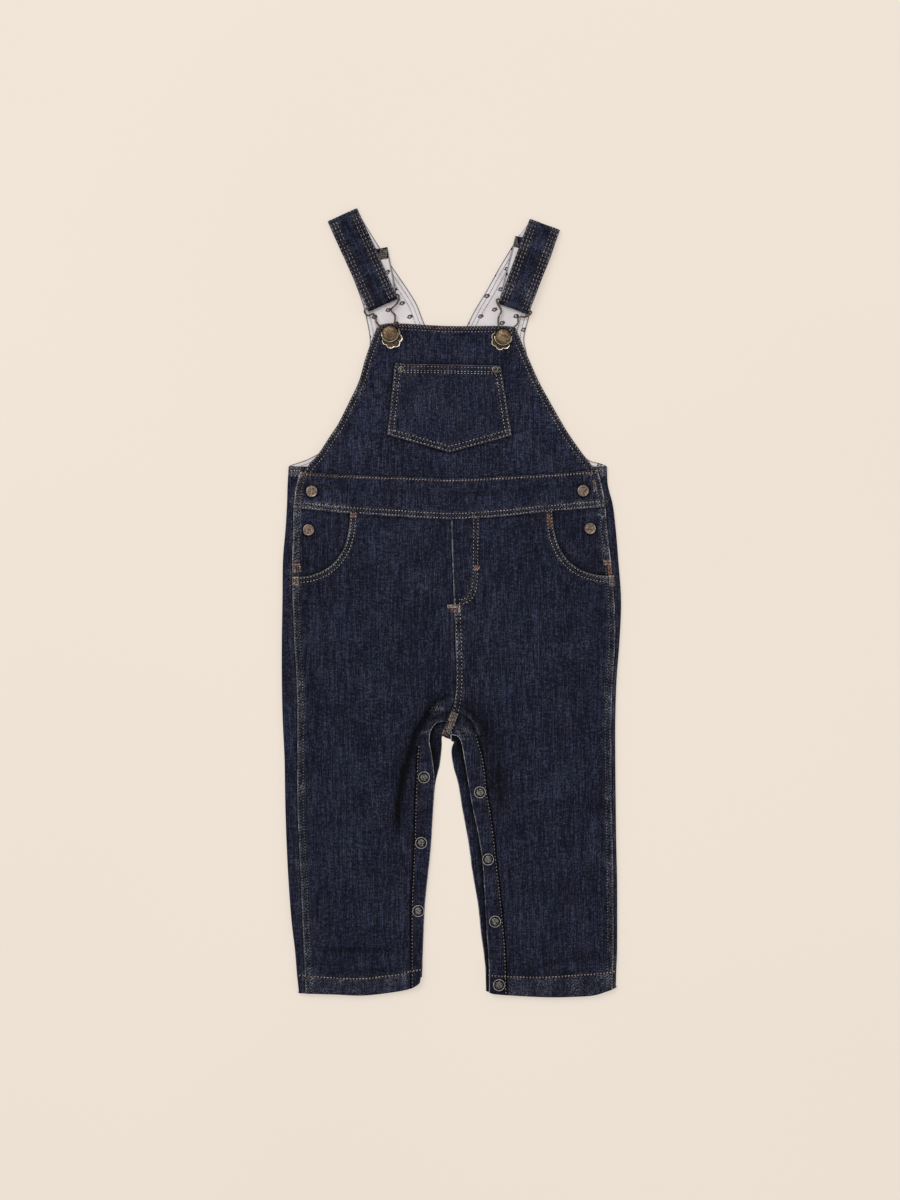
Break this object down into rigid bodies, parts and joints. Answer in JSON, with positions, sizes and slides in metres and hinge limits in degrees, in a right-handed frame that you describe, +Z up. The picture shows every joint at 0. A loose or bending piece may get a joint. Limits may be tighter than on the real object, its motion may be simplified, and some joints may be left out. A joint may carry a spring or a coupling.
{
  "type": "kids dungarees",
  "caption": "Child's denim dungarees laid flat, face up, with bib, patch pocket, printed lining, buckled straps and inner-leg snaps.",
  "frame": {"origin": "middle of the garment's box on the surface it lies on, at the underside of the back", "axes": "+X to the viewer's right across the front, +Y from the hems to the shoulders, +Z up from the surface, out of the front"},
  "size_m": [0.2711, 0.6307, 0.0111],
  "materials": {
    "indigo_denim": "dark indigo twill, washed, with tan topstitching",
    "printed_lining": "off-white plain weave with a small scattered dark print",
    "antique_brass": "antiqued, dull brown brass with worn bright edges"
  },
  "bodies": {
    "root": {"back_bib": "indigo_denim", "back_hem_l": "indigo_denim", "back_hem_r": "indigo_denim", "back_leg_l": "indigo_denim", "back_leg_r": "indigo_denim", "back_lining": "printed_lining", "back_placket_l": "indigo_denim", "back_placket_r": "indigo_denim", "back_waistband": "indigo_denim", "bib_button_l": "antique_brass", "bib_button_r": "antique_brass", "bib_pocket": "indigo_denim", "buckle_plate_l": "antique_brass", "buckle_plate_r": "antique_brass", "buckle_wire_l": "antique_brass", "buckle_wire_r": "antique_brass", "fly_flap": "indigo_denim", "front_bib": "indigo_denim", "front_hem_l": "indigo_denim", "front_hem_r": "indigo_denim", "front_leg_l": "indigo_denim", "front_leg_r": "indigo_denim", "front_placket_l": "indigo_denim", "front_placket_r": "indigo_denim", "front_waistband": "indigo_denim", "pocket_inset_l": "indigo_denim", "pocket_inset_r": "indigo_denim", "pocket_rivet_l": "antique_brass", "pocket_rivet_r": "antique_brass", "side_button_lower_l": "antique_brass", "side_button_lower_r": "antique_brass", "side_button_upper_l": "antique_brass", "side_button_upper_r": "antique_brass", "snap_l1": "antique_brass", "snap_l2": "antique_brass", "snap_l3": "antique_brass", "snap_r1": "antique_brass", "snap_r2": "antique_brass", "snap_r3": "antique_brass", "snap_r4": "antique_brass", "strap_l": "indigo_denim", "strap_lining_l": "printed_lining", "strap_lining_r": "printed_lining", "strap_r": "indigo_denim"}
  },
  "joints": []
}
